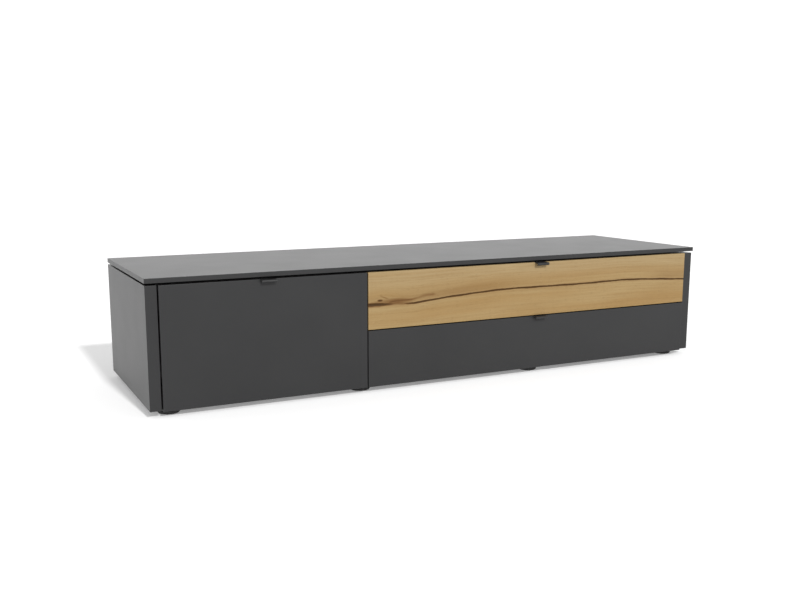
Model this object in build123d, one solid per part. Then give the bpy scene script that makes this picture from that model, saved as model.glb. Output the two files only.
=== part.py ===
from build123d import *
import os

# A long, low dresser on disc feet. A lacquered carcase stands under a thin top plate,
# with a shadow gap between them, and holds one deep drawer on the left and two wide
# drawers, one above the other, on the right. Every drawer runs on a pair of
# full-extension ball runners and is pulled by a small metal tab on its front's top edge.
#
# Frame: millimetres, +X to the right seen from the front, +Y to the back, +Z up.
# The origin is on the floor, under the middle of the whole object, tabs included.

os.makedirs("parts", exist_ok=True)

# ---------------------------------------------------------------- driving dimensions
width = 1840.0              # over the outer faces of the two side panels
height = 370.0              # floor to the upper face of the top plate
side_depth = 533.0          # front edge to back edge of a side panel
floor_gap = 17.0            # floor to the lower edges of the fronts
side_lift = 2.5             # a side panel's lower edge is this much above the fronts'
side_thickness = 31.0
board_thickness = 19.0      # fronts, bottom panel, inner top panel and divider
plate_thickness = 13.0
plate_gap = 6.0             # shadow gap between the carcase and the top plate
plate_overhang = 1.5        # top plate past each side panel
plate_back_inset = 6.0      # top plate's back edge to the side panels' back edges
front_gap = 3.0             # between fronts, and between a front and a side panel
front_proud = 5.0           # fronts stand this far in front of the side panels
closing_gap = 2.0           # back of a front to the carcase boards behind it
divider_share = 0.3386      # divider's centre, as a share of the width from the left
edge_radius = 1.0           # rounding of the lacquered edges

back_thickness = 8.0
back_inset = 12.0           # carcase back edge to the back panels
groove_depth = 6.0
groove_play = 0.1

tab_width = 43.0            # the metal pull tabs
tab_reach = 16.0            # how far a tab stands out from its front
tab_roll = 4.25             # outer radius of its free edge, which is rolled down and back
tab_metal = 2.0
tab_sink = 0.5              # tab's upper face below the front's top edge
tab_leg = 22.0              # height of the leg screwed to the back of the front

box_depth = 460.0           # drawer boxes, front to back
box_board = 15.0
box_bottom_board = 8.0
box_bottom_rise = 12.0      # box's lower edge to its bottom board
box_edge_radius = 1.5

runner_length = 450.0
runner_width = 12.7         # room that one runner takes between carcase and box
runner_half_height = 22.5
runner_metal = 1.2
runner_setback = 2.0        # carcase front edge to the runners' front ends

foot_radius = 30.0
foot_inset = 61.0           # end feet from the carcase's ends
foot_setback = 56.0         # feet from the side panels' front and back edges
glide_thickness = 2.0

hole_play = 0.05            # a hole is this much larger in radius than what fills it

# ---------------------------------------------------------------- derived places
total_depth = side_depth + front_proud + tab_reach
front_face = -total_depth / 2 + tab_reach
side_front = front_face + front_proud
carcase_back = total_depth / 2
front_rear = front_face + board_thickness
carcase_front = front_rear + closing_gap

plate_under = height - plate_thickness
fronts_top = plate_under - plate_gap
carcase_under = floor_gap + side_lift
bottom_upper = carcase_under + board_thickness
inner_top_under = fronts_top - board_thickness

outer_left = -width / 2
outer_right = width / 2
inner_left = outer_left + side_thickness
inner_right = outer_right - side_thickness
divider_x = outer_left + divider_share * width
divider_left = divider_x - board_thickness / 2
divider_right = divider_x + board_thickness / 2

back_panel_rear = carcase_back - back_inset
back_panel_front = back_panel_rear - back_thickness

half_front = (fronts_top - floor_gap - front_gap) / 2
lower_front_top = floor_gap + half_front
upper_front_bottom = lower_front_top + front_gap

# One entry for each drawer: the bay it runs in, its front's edges, and its box's edges.
left_bay = (inner_left, divider_left)
right_bay = (divider_right, inner_right)
left_front_span = (inner_left + front_gap, divider_x - front_gap / 2)
right_front_span = (divider_x + front_gap / 2, inner_right - front_gap)
low_box_bottom = bottom_upper + 6.5
low_box_height = 115.0
deep_box_height = 255.0
upper_box_bottom = upper_front_bottom + 19.5

drawers = {
    "deep": dict(bay=left_bay, span=left_front_span, bottom=floor_gap, top=fronts_top,
                 box_bottom=low_box_bottom, box_height=deep_box_height, screws_across=3),
    "lower": dict(bay=right_bay, span=right_front_span, bottom=floor_gap, top=lower_front_top,
                  box_bottom=low_box_bottom, box_height=low_box_height, screws_across=5),
    "upper": dict(bay=right_bay, span=right_front_span, bottom=upper_front_bottom, top=fronts_top,
                  box_bottom=upper_box_bottom, box_height=low_box_height, screws_across=5),
}


# ---------------------------------------------------------------- shared shapes
def block(x_span, y_span, z_span):
    """A rectangular solid between two values on each axis."""
    spans = (x_span, y_span, z_span)
    middle = [(low + high) / 2 for low, high in spans]
    size = [high - low for low, high in spans]
    return Pos(*middle) * Box(*size)


def rounded_block(x_span, y_span, z_span, radius=edge_radius):
    """A lacquered board: a rectangular solid with all of its edges rounded."""
    solid = block(x_span, y_span, z_span)
    return fillet(solid.edges(), radius)


def rod(start, direction, length, radius):
    """A round bar from a start point along a direction."""
    return Plane(origin=start, z_dir=direction) * Cylinder(
        radius, length, align=(Align.CENTER, Align.CENTER, Align.MIN))


def cone_head(start, direction, depth, outer_radius, inner_radius):
    """A countersunk head that narrows along the direction."""
    return Plane(origin=start, z_dir=direction) * Cone(
        outer_radius, inner_radius, depth, align=(Align.CENTER, Align.CENTER, Align.MIN))


def pan_screw(seat, direction, length, shank_radius, head_radius, head_height):
    """A screw whose head lies on the seat point and whose shank runs along the direction."""
    backwards = -Vector(*direction)
    shank = rod(seat, direction, length, shank_radius)
    head = rod(seat, backwards, head_height, head_radius)
    rim = head.edges().sort_by(lambda edge: edge.center().dot(backwards))[-1:]
    head = fillet(rim, head_height * 0.45)
    return shank + head


def spread(low, high, count):
    """Evenly spaced places from low to high."""
    step = (high - low) / (count - 1)
    return [low + step * index for index in range(count)]


def save(name, solids):
    """Write one node, made of one solid or of a group of separate solids."""
    group = solids if isinstance(solids, list) else [solids]
    shape = group[0] if len(group) == 1 else Compound(children=group)
    export_step(shape, f"parts/{name}.step")


# ---------------------------------------------------------------- carcase joints
# The ends of the bottom and inner top panels are held to the side panels by three
# dowels and two cam fittings each. A cam's bolt screws into the side panel, and its
# housing lies in the board's hidden face. The divider has dowels and screws.
joint_front = carcase_front + 60.0
joint_rear = back_panel_front - 60.0
dowel_places = spread(joint_front, joint_rear, 3)
cam_places = [place + 45.0 for place in dowel_places[:2]]

dowel_radius = 4.0
dowel_in_side = 14.0
dowel_in_board = 26.0
divider_dowel_in_panel = 12.0

cam_radius = 7.5
cam_depth = 13.0
cam_reach = 34.0            # side panel's inner face to the cam's centre
cam_bolt_radius = 3.5
cam_bolt_in_side = 12.0

divider_screw_radius = 2.5
divider_screw_head = 5.0
divider_screw_head_depth = 3.0
divider_screw_length = 50.0
divider_screw_places = [place + 45.0 for place in dowel_places[:2]]


def carcase_dowel_rods(play=0.0):
    """All carcase dowels, or with some play the holes that they fill."""
    rods = []
    end_length = dowel_in_side + dowel_in_board + 2 * play
    for level in ((carcase_under + bottom_upper) / 2, (inner_top_under + fronts_top) / 2):
        for place in dowel_places:
            left_start = (inner_left - dowel_in_side - play, place, level)
            right_start = (inner_right + dowel_in_side + play, place, level)
            rods.append(rod(left_start, (1, 0, 0), end_length, dowel_radius + play))
            rods.append(rod(right_start, (-1, 0, 0), end_length, dowel_radius + play))
    upright_length = divider_dowel_in_panel + dowel_in_board + 2 * play
    for place in dowel_places:
        low_start = (divider_x, place, bottom_upper - divider_dowel_in_panel - play)
        high_start = (divider_x, place, inner_top_under + divider_dowel_in_panel + play)
        rods.append(rod(low_start, (0, 0, 1), upright_length, dowel_radius + play))
        rods.append(rod(high_start, (0, 0, -1), upright_length, dowel_radius + play))
    return rods


def cam_housing_discs(play=0.0):
    """Cam housings, let into the underside of the bottom panel and the top of the inner top."""
    discs = []
    for place in cam_places:
        for side in (-1, 1):
            centre_x = side * (inner_right - cam_reach)
            low = (centre_x, place, carcase_under)
            high = (centre_x, place, fronts_top)
            discs.append(rod(low, (0, 0, 1), cam_depth + play, cam_radius + play))
            discs.append(rod(high, (0, 0, -1), cam_depth + play, cam_radius + play))
    return discs


def cam_bolt_rods(play=0.0):
    """Cam bolts, from inside the side panels to the cam housings."""
    rods = []
    length = cam_bolt_in_side + cam_reach - cam_radius - hole_play + play
    for level in ((carcase_under + bottom_upper) / 2, (inner_top_under + fronts_top) / 2):
        for place in cam_places:
            for side in (-1, 1):
                start = (side * (inner_right + cam_bolt_in_side + play), place, level)
                rods.append(rod(start, (-side, 0, 0), length + play, cam_bolt_radius + play))
    return rods


def divider_screw_bars(play=0.0):
    """Countersunk screws through the bottom and inner top panels into the divider's ends."""
    bars = []
    for place in divider_screw_places:
        for start_z, direction in ((carcase_under, 1), (fronts_top, -1)):
            start = (divider_x, place, start_z)
            head = cone_head(start, (0, 0, direction), divider_screw_head_depth,
                             divider_screw_head + play, divider_screw_radius + play)
            shank = rod(start, (0, 0, direction), divider_screw_length + play,
                        divider_screw_radius + play)
            bars.append(shank + head)
    return bars


# ---------------------------------------------------------------- top plate fixing
# Two long strips, set well back from the edges, carry the top plate above the carcase.
# Screws go up through the inner top panel and the strips into the plate.
spacer_width = 40.0
spacer_end_inset = 60.0
spacer_edge_inset = 45.0
plate_screw_radius = 2.5
plate_screw_in_plate = 9.0
plate_screw_length = board_thickness + plate_gap + plate_screw_in_plate
spacer_rows = (carcase_front + spacer_edge_inset, back_panel_front - spacer_edge_inset)
plate_screw_columns = (outer_left + 110.0, divider_left - 80.0, divider_right + 80.0,
                       outer_right - 110.0)


def plate_screw_bars():
    """The top plate's screws, with pan heads under the inner top panel."""
    return [pan_screw((column, row, inner_top_under), (0, 0, 1), plate_screw_length,
                      plate_screw_radius, 5.0, 2.8)
            for row in spacer_rows for column in plate_screw_columns]


def plate_screw_holes():
    """The holes that the top plate's screws fill."""
    return [rod((column, row, inner_top_under), (0, 0, 1), plate_screw_length + hole_play,
                plate_screw_radius + hole_play)
            for row in spacer_rows for column in plate_screw_columns]


def make_top_plate():
    """The thin lacquered top, and the strips that hold it above the carcase."""
    plate = rounded_block((outer_left - plate_overhang, outer_right + plate_overhang),
                          (front_face, carcase_back - plate_back_inset),
                          (plate_under, height))
    strips = [block((outer_left + spacer_end_inset, outer_right - spacer_end_inset),
                    (row - spacer_width / 2, row + spacer_width / 2),
                    (fronts_top, plate_under))
              for row in spacer_rows]
    holes = plate_screw_holes()
    save("top_plate", plate - holes)
    save("top_plate_spacers", [strip - holes for strip in strips])
    save("top_plate_screws", plate_screw_bars())


# ---------------------------------------------------------------- feet
# Four disc feet in front and four behind: by both ends, under the divider and under the
# middle of the wide drawers. A countersunk screw holds each disc, and a thin glide under
# it covers the screw.
foot_columns = (outer_left + foot_inset, divider_x, sum(right_front_span) / 2,
                outer_right - foot_inset)
foot_rows = {"front": side_front + foot_setback, "rear": carcase_back - foot_setback}
foot_screw_radius = 2.5
foot_screw_length = 30.0
foot_screw_head = 5.0
foot_screw_head_depth = 3.0
foot_flange_height = 4.0
foot_waist_inset = 2.5
foot_core_radius = 9.0


def foot_disc(x, y):
    """A turned disc foot: a wide flange under the board, a waist, and a wide lower rim."""
    low = glide_thickness
    high = carcase_under
    waist = foot_radius - foot_waist_inset
    outline = Polyline(
        (0, low), (foot_radius - 1.0, low), (foot_radius, low + 1.0),
        (foot_radius, high - foot_flange_height), (waist, high - foot_flange_height + 1.5),
        (waist, high), (0, high), close=True)
    disc = revolve(Plane.XZ * make_face(outline), Axis.Z)
    return Pos(x, y, 0) * disc


def foot_screw(x, y, play=0.0):
    """The screw of one foot, with its head in the foot's recess."""
    start = (x, y, glide_thickness + foot_screw_head_depth)
    head = cone_head(start, (0, 0, 1), foot_screw_head_depth,
                     foot_screw_head + play, foot_screw_radius + play)
    return head + rod(start, (0, 0, 1), foot_screw_length + play, foot_screw_radius + play)


def make_feet():
    """Feet, their screws and their glides."""
    screws = []
    glides = []
    for row_name, row in foot_rows.items():
        discs = []
        for column in foot_columns:
            recess = rod((column, row, glide_thickness), (0, 0, 1), foot_screw_head_depth,
                         foot_core_radius)
            discs.append(foot_disc(column, row) - recess - foot_screw(column, row, hole_play))
            screws.append(foot_screw(column, row))
            glides.append(rod((column, row, 0), (0, 0, 1), glide_thickness, foot_radius - 2.0))
        save(f"{row_name}_feet", discs)
    save("foot_screws", screws)
    save("foot_glides", glides)


# ---------------------------------------------------------------- runners
# A runner is three nested steel channels. The cabinet rail is screwed to the carcase,
# the drawer rail to the drawer box, and the middle rail runs between them at half speed.
# Each profile is given outwards from the carcase wall, and mirrored for the other side.
cabinet_rail_reach = 10.5
cabinet_rail_lip = 5.0
middle_rail_start = 2.4
middle_rail_reach = 11.0
middle_rail_half_height = 17.0
drawer_rail_start = 5.0
drawer_rail_half_height = 11.4
rail_screw_radius = 2.0
rail_screw_head = 3.5
cabinet_screw_head_height = 0.9
cabinet_screw_length = 14.0
drawer_screw_head_height = 1.4
drawer_screw_length = 12.0
rail_screw_insets = (37.0, 165.0, 293.0, 421.0)
rail_front = carcase_front + runner_setback


def channel(start, reach, half_height, lip, web_first):
    """Section of a steel channel: a web, two flanges, and a lip on each flange if wanted."""
    outer = Pos((start + reach) / 2, 0) * Rectangle(reach - start, 2 * half_height)
    outer = fillet(outer.vertices(), runner_metal * 0.8)
    hollow_low = start + runner_metal if web_first else start
    hollow_high = reach if web_first else reach - runner_metal
    if lip:
        mouth = Pos((start + reach) / 2, 0) * Rectangle(reach - start, 2 * (half_height - lip))
        mouth = mouth & (Pos((hollow_low + hollow_high) / 2, 0) * Rectangle(
            hollow_high - hollow_low, 2 * half_height))
        hollow_high = hollow_high - runner_metal
    hollow = Pos((hollow_low + hollow_high) / 2, 0) * Rectangle(
        hollow_high - hollow_low, 2 * (half_height - runner_metal))
    section = outer - hollow
    return section - mouth if lip else section


def rail(section, wall_x, inwards, centre_z):
    """Extrude a rail's section along the drawer's travel, from its wall into the bay."""
    plane = Plane(origin=(wall_x, rail_front, centre_z), x_dir=(inwards, 0, 0),
                  z_dir=(0, 1, 0))
    return extrude(plane * section, runner_length)


def rail_screws(wall_x, inwards, centre_z, on_drawer, as_hole=False):
    """The screws of one cabinet rail or one drawer rail, or the holes that they fill."""
    if on_drawer:
        seat_x = wall_x + inwards * (runner_width - runner_metal)
        direction = inwards
        length = drawer_screw_length
        head_height = drawer_screw_head_height
    else:
        seat_x = wall_x + inwards * runner_metal
        direction = -inwards
        length = cabinet_screw_length
        head_height = cabinet_screw_head_height
    bars = []
    for inset in rail_screw_insets:
        seat = (seat_x, rail_front + inset, centre_z)
        if as_hole:
            bars.append(rod(seat, (direction, 0, 0), length + hole_play,
                            rail_screw_radius + hole_play))
        else:
            bars.append(pan_screw(seat, (direction, 0, 0), length, rail_screw_radius,
                                  rail_screw_head, head_height))
    return bars


def runner_level(drawer):
    """Height of a drawer's runners: the middle of a low box, lower down on a deep one."""
    return drawer["box_bottom"] + min(drawer["box_height"] / 2, 80.0)


def runner_walls(drawer):
    """Each wall of a drawer's bay, with the direction that leads from it into the bay."""
    return ((drawer["bay"][0], 1), (drawer["bay"][1], -1))


cabinet_section = channel(0, cabinet_rail_reach, runner_half_height, cabinet_rail_lip, True)
middle_section = channel(middle_rail_start, middle_rail_reach, middle_rail_half_height,
                         cabinet_rail_lip, True)
drawer_section = channel(drawer_rail_start, runner_width, drawer_rail_half_height, 0, False)


def make_runners(name, drawer):
    """The three pairs of rails of one drawer, and the drawer rails' screws."""
    level = runner_level(drawer)
    cabinet_rails = []
    middle_rails = []
    drawer_rails = []
    screws = []
    for wall_x, inwards in runner_walls(drawer):
        cabinet_holes = rail_screws(wall_x - inwards * 2.0, inwards, level, False, True)
        drawer_holes = rail_screws(wall_x, inwards, level, True, True)
        cabinet_rails.append(rail(cabinet_section, wall_x, inwards, level)
                             - rail_screws(wall_x, inwards, level, False, True)
                             - cabinet_holes)
        middle_rails.append(rail(middle_section, wall_x, inwards, level))
        drawer_rails.append(rail(drawer_section, wall_x, inwards, level) - drawer_holes)
        screws += rail_screws(wall_x, inwards, level, True)
    save(f"{name}_cabinet_rails", cabinet_rails)
    save(f"{name}_middle_rails", middle_rails)
    save(f"{name}_drawer_rails", drawer_rails)
    save(f"{name}_drawer_rail_screws", screws)


def cabinet_screw_solids(as_hole=False):
    """The screws of all cabinet rails, or the holes that they fill."""
    bars = []
    for drawer in drawers.values():
        for wall_x, inwards in runner_walls(drawer):
            bars += rail_screws(wall_x, inwards, runner_level(drawer), False, as_hole)
    return bars


# ---------------------------------------------------------------- carcase
def back_groove(x_span, z_span):
    """The slot that a back panel's edge runs in."""
    return block(x_span, (back_panel_front - groove_play, back_panel_rear + groove_play), z_span)


def make_back_panel(name, bay):
    """One thin back panel, let into the boards around its bay."""
    reach = groove_depth - 0.5
    save(name, block((bay[0] - reach, bay[1] + reach), (back_panel_front, back_panel_rear),
                     (bottom_upper - reach, inner_top_under + reach)))


bumper_radius = 5.0
bumper_thickness = closing_gap - 0.4
bumper_inset = 40.0


def front_bumpers():
    """Soft buttons on the carcase edges, where the closed fronts come to rest."""
    low_level = (carcase_under + bottom_upper) / 2
    high_level = (inner_top_under + fronts_top) / 2
    return [rod((x, carcase_front, level), (0, -1, 0), bumper_thickness, bumper_radius)
            for span in (left_front_span, right_front_span)
            for x in (span[0] + bumper_inset, span[1] - bumper_inset)
            for level in (low_level, high_level)]


def make_carcase():
    """Side panels, bottom, inner top, divider and back, with the fittings that join them."""
    boards = carcase_dowel_rods(hole_play) + cam_bolt_rods(hole_play)
    cam_holes = cam_housing_discs(hole_play)
    runner_holes = cabinet_screw_solids(True)
    divider_holes = divider_screw_bars(hole_play)
    foot_holes = [foot_screw(column, row, hole_play)
                  for row in foot_rows.values() for column in foot_columns]

    upright = (carcase_under, fronts_top)
    groove_levels = (bottom_upper - groove_depth, inner_top_under + groove_depth)
    deep = (side_front, carcase_back)
    left_side = rounded_block((outer_left, inner_left), deep, upright)
    left_side -= back_groove((inner_left - groove_depth, inner_left), groove_levels)
    save("left_side_panel", left_side - boards - runner_holes)
    right_side = rounded_block((inner_right, outer_right), deep, upright)
    right_side -= back_groove((inner_right, inner_right + groove_depth), groove_levels)
    save("right_side_panel", right_side - boards - runner_holes)

    shallow = (carcase_front, carcase_back)
    between = (inner_left, inner_right)
    bottom = block(between, shallow, (carcase_under, bottom_upper))
    bottom -= back_groove(between, (bottom_upper - groove_depth, bottom_upper))
    save("bottom_panel", bottom - boards - cam_holes - divider_holes - foot_holes)
    inner_top = block(between, shallow, (inner_top_under, fronts_top))
    inner_top -= back_groove(between, (inner_top_under, inner_top_under + groove_depth))
    save("inner_top_panel",
         inner_top - boards - cam_holes - divider_holes - plate_screw_holes())

    divider = block((divider_left, divider_right), shallow, (bottom_upper, inner_top_under))
    for slot in ((divider_left, divider_left + groove_depth),
                 (divider_right - groove_depth, divider_right)):
        divider -= back_groove(slot, (bottom_upper, inner_top_under))
    save("centre_divider", divider - boards - divider_holes - runner_holes)

    make_back_panel("back_panel_left", left_bay)
    make_back_panel("back_panel_right", right_bay)
    save("carcase_dowels", carcase_dowel_rods())
    save("cam_housings", cam_housing_discs())
    save("cam_bolts", cam_bolt_rods())
    save("divider_screws", divider_screw_bars())
    save("cabinet_rail_screws", cabinet_screw_solids())
    save("front_bumpers", front_bumpers())


# ---------------------------------------------------------------- drawer fronts and tabs
tab_screw_radius = 1.75
tab_screw_head = 3.2
tab_screw_head_depth = 1.6
tab_screw_length = 14.0
tab_screw_spread = 26.0
tab_bend = 1.0
front_screw_radius = 2.25
front_screw_length = 28.0


def tab_section(top):
    """Outline of a bent pull tab, seen from its end: a free edge rolled through a half turn, a flat over
    the front's upper edge, and a leg."""
    upper = top - tab_sink
    under = upper - tab_metal
    roll_middle = front_face - tab_reach + tab_roll
    roll_end = upper - 2 * tab_roll
    inner_radius = tab_roll - tab_metal
    leg = Polyline(
        (roll_middle, upper), (front_rear, upper), (front_rear, upper - tab_leg),
        (front_rear - tab_metal, upper - tab_leg), (front_rear - tab_metal, under),
        (roll_middle, under))
    inner_roll = ThreePointArc(
        (roll_middle, under), (roll_middle - inner_radius, upper - tab_roll),
        (roll_middle, roll_end + tab_metal))
    free_edge = Line((roll_middle, roll_end + tab_metal), (roll_middle, roll_end))
    outer_roll = ThreePointArc(
        (roll_middle, roll_end), (roll_middle - tab_roll, upper - tab_roll), (roll_middle, upper))
    return make_face(Plane.YZ * (leg + inner_roll + free_edge + outer_roll))


def make_tab(top, middle):
    """A pull tab in bent metal, rounded at its rear bend."""
    half = tab_width / 2
    solid = extrude(tab_section(top), half, both=True)
    rear_bend = solid.edges().filter_by(Axis.X).sort_by(
        lambda edge: edge.center().Y + edge.center().Z)[-1:]
    solid = fillet(rear_bend, tab_bend)
    return Pos(middle, 0, 0) * solid


def tab_screws(top, middle, play=0.0):
    """The two countersunk screws that hold a tab's leg to the back of its front."""
    level = top - tab_sink - tab_leg * 0.6
    bars = []
    for x in (middle - tab_screw_spread / 2, middle + tab_screw_spread / 2):
        start = (x, front_rear, level)
        head = cone_head(start, (0, -1, 0), tab_screw_head_depth,
                         tab_screw_head + play, tab_screw_radius + play)
        bars.append(head + rod(start, (0, -1, 0), tab_screw_length + play,
                               tab_screw_radius + play))
    return bars


def front_screw_places(drawer):
    """Where screws go from inside the drawer box into its front."""
    inner_low = drawer["bay"][0] + runner_width + box_board
    inner_high = drawer["bay"][1] - runner_width - box_board
    columns = spread(inner_low + 45.0, inner_high - 45.0, drawer["screws_across"])
    rows = (drawer["box_bottom"] + 38.0, drawer["box_bottom"] + drawer["box_height"] - 22.0)
    return [(column, row) for column in columns for row in rows]


def make_front(name, drawer):
    """A drawer front with its tab's recess, the tab, and the screws of both."""
    low, high = drawer["span"]
    middle = (low + high) / 2
    board = rounded_block((low, high), (front_face, front_rear),
                          (drawer["bottom"], drawer["top"]))
    half_slot = tab_width / 2 + 0.2
    slot = (middle - half_slot, middle + half_slot)
    seat_level = drawer["top"] - tab_sink - tab_metal
    board -= block(slot, (front_face, front_rear), (seat_level, drawer["top"]))
    board -= block(slot, (front_rear - tab_metal, front_rear),
                   (drawer["top"] - tab_sink - tab_leg - 0.2, drawer["top"]))
    board -= tab_screws(drawer["top"], middle, hole_play)
    places = front_screw_places(drawer)
    seat = front_rear + box_board
    board -= [rod((x, seat, z), (0, -1, 0), front_screw_length + hole_play,
                  front_screw_radius + hole_play) for x, z in places]
    save(f"{name}_front", board)
    save(f"{name}_tab", make_tab(drawer["top"], middle) - tab_screws(drawer["top"], middle,
                                                                    hole_play))
    save(f"{name}_tab_screws", tab_screws(drawer["top"], middle))
    save(f"{name}_front_screws",
         [pan_screw((x, seat, z), (0, -1, 0), front_screw_length, front_screw_radius, 4.5, 2.4)
          for x, z in places])


# ---------------------------------------------------------------- drawer boxes
def top_edge_rounded(solid, along):
    """Round the two upper edges of a box board that run along an axis."""
    return fillet(solid.edges().filter_by(along).sort_by(Axis.Z)[-2:], box_edge_radius)


def make_box(name, drawer):
    """Two sides, an inner front, a back and a grooved-in bottom."""
    left = drawer["bay"][0] + runner_width
    right = drawer["bay"][1] - runner_width
    low = drawer["box_bottom"]
    high = low + drawer["box_height"]
    rear = front_rear + box_depth
    level = runner_level(drawer)
    bottom_low = low + box_bottom_rise
    bottom_high = bottom_low + box_bottom_board
    groove = block((left + box_board - groove_depth, right - box_board + groove_depth),
                   (front_rear + box_board - groove_depth, rear - box_board + groove_depth),
                   (bottom_low - groove_play, bottom_high + groove_play))
    walls = runner_walls(drawer)
    for side, span, (wall_x, inwards) in (
            ("left", (left, left + box_board), walls[0]),
            ("right", (right - box_board, right), walls[1])):
        board = top_edge_rounded(block(span, (front_rear, rear), (low, high)), Axis.Y)
        save(f"{name}_box_{side}",
             board - groove - rail_screws(wall_x, inwards, level, True, True))

    inner = (left + box_board, right - box_board)
    inner_front = top_edge_rounded(
        block(inner, (front_rear, front_rear + box_board), (low, high)), Axis.X)
    inner_front -= groove
    inner_front -= [rod((x, front_rear + box_board, z), (0, -1, 0), box_board,
                        front_screw_radius + hole_play)
                    for x, z in front_screw_places(drawer)]
    save(f"{name}_box_inner_front", inner_front)
    back = top_edge_rounded(block(inner, (rear - box_board, rear), (low, high)), Axis.X)
    save(f"{name}_box_back", back - groove)
    reach = groove_depth - 0.5
    save(f"{name}_box_bottom",
         block((inner[0] - reach, inner[1] + reach),
               (front_rear + box_board - reach, rear - box_board + reach),
               (bottom_low, bottom_high)))


# ---------------------------------------------------------------- build everything
make_carcase()
make_top_plate()
make_feet()
for drawer_name, drawer_sizes in drawers.items():
    make_front(drawer_name, drawer_sizes)
    make_box(drawer_name, drawer_sizes)
    make_runners(drawer_name, drawer_sizes)
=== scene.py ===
import math
import bpy
import numpy as np
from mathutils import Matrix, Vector


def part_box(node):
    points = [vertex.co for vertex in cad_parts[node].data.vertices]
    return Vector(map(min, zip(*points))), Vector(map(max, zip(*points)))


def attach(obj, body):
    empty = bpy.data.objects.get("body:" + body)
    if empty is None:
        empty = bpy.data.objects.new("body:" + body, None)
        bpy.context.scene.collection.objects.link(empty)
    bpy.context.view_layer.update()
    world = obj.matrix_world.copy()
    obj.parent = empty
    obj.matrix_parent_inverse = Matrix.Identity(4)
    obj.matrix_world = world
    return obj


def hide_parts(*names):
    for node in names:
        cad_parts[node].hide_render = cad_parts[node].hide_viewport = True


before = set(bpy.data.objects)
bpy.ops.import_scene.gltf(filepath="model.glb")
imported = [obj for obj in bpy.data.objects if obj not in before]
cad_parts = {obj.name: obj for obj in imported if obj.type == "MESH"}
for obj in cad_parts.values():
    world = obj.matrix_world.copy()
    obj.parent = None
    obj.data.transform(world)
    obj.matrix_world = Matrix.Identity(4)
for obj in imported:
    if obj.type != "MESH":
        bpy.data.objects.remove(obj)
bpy.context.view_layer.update()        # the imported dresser: its boards, rails and fittings, each riding on its body

# ---------------------------------------------------------------- studio
# A round white room: lit walls, a dimmer ceiling, and a pale matt table for a floor that is itself
# lit a little from below. One softened lamp, in front and above, draws the shadows.
WALL_GLOW = 1.65
CEILING_GLOW = 0.55
WALL_TOP = (math.sin(math.radians(14.0)), math.sin(math.radians(32.0)))    # where wall turns to ceiling
FLOOR_HALF_SIZE = 60.0
FLOOR_TONE = 0.76
FLOOR_GLOW = 0.24
WHITE = (1.0, 1.0, 1.0, 1.0)
LAMP_STRENGTH = 2.9
LAMP_WIDTH = math.radians(4.0)
TOWARDS_LAMP = Vector((0.05, -0.83, 0.56))


def add(owner, kind, inputs, **settings):
    """Adds a node. Settings are its own properties; each input is a value or another node's output."""
    node = owner.node_tree.nodes.new("ShaderNode" + kind)
    for name, value in settings.items():
        setattr(node, name, value)
    for socket, value in inputs.items():
        if isinstance(value, bpy.types.NodeSocket):
            owner.node_tree.links.new(value, node.inputs[socket])
        else:
            node.inputs[socket].default_value = value
    return node


def remap(owner, value, low, high, new_low=0.0, new_high=1.0):
    """The value's span from low to high, spread over new_low to new_high and held at its ends."""
    inputs = {"Value": value, "From Min": low, "From Max": high, "To Min": new_low, "To Max": new_high}
    return add(owner, "MapRange", inputs).outputs["Result"]


def make_finish(name, shader_values):
    """A node material. The values are sockets of its shader that are the same all over a piece."""
    finish = bpy.data.materials.new(name)
    finish.use_nodes = True
    shader = finish.node_tree.nodes["Principled BSDF"]
    for socket, value in shader_values.items():
        shader.inputs[socket].default_value = value
    return finish


scene = bpy.context.scene
scene.view_settings.view_transform = "Standard"
world = bpy.data.worlds.new("white_room")
world.use_nodes = True
direction = add(world, "TexCoord", {}).outputs["Generated"]
upwards = add(world, "SeparateXYZ", {"Vector": direction}).outputs["Z"]
room_light = world.node_tree.nodes["Background"]
room_light.inputs["Color"].default_value = WHITE
room_glow = remap(world, upwards, *WALL_TOP, WALL_GLOW, CEILING_GLOW)
world.node_tree.links.new(room_glow, room_light.inputs["Strength"])
scene.world = world

lamp_light = bpy.data.lights.new("lamp", "SUN")
lamp_light.energy = LAMP_STRENGTH
lamp_light.angle = LAMP_WIDTH
lamp = bpy.data.objects.new("lamp", lamp_light)
lamp.rotation_euler = TOWARDS_LAMP.to_track_quat("Z", "Y").to_euler()
scene.collection.objects.link(lamp)

floor_paint = make_finish("floor_paint", {
    "Base Color": (FLOOR_TONE, FLOOR_TONE, FLOOR_TONE, 1.0),
    "Roughness": 1.0,
    "Specular IOR Level": 0.0,
    "Emission Color": WHITE,
    "Emission Strength": FLOOR_GLOW,
})
floor_corners = [
    (x * FLOOR_HALF_SIZE, y * FLOOR_HALF_SIZE, 0.0) for x, y in ((-1, -1), (1, -1), (1, 1), (-1, 1))]
floor_mesh = bpy.data.meshes.new("floor")
floor_mesh.from_pydata(floor_corners, [], [(0, 1, 2, 3)])
floor_mesh.materials.append(floor_paint)
floor = bpy.data.objects.new("floor", floor_mesh)
scene.collection.objects.link(floor)

# ---------------------------------------------------------------- camera
# It stands in front of the dresser's left end, well above the plate, and looks to the right and a
# little down. The small shift only sets the framing.
CAMERA_PLACE = (-1.389, -2.612, 0.679)
CAMERA_TURN_RIGHT = math.radians(26.27)
CAMERA_TILT_DOWN = math.radians(9.96)
CAMERA_LENS = 41.56
CAMERA_SHIFT = (0.0131, 0.0212)
SENSOR_WIDTH = 36.0

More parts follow.
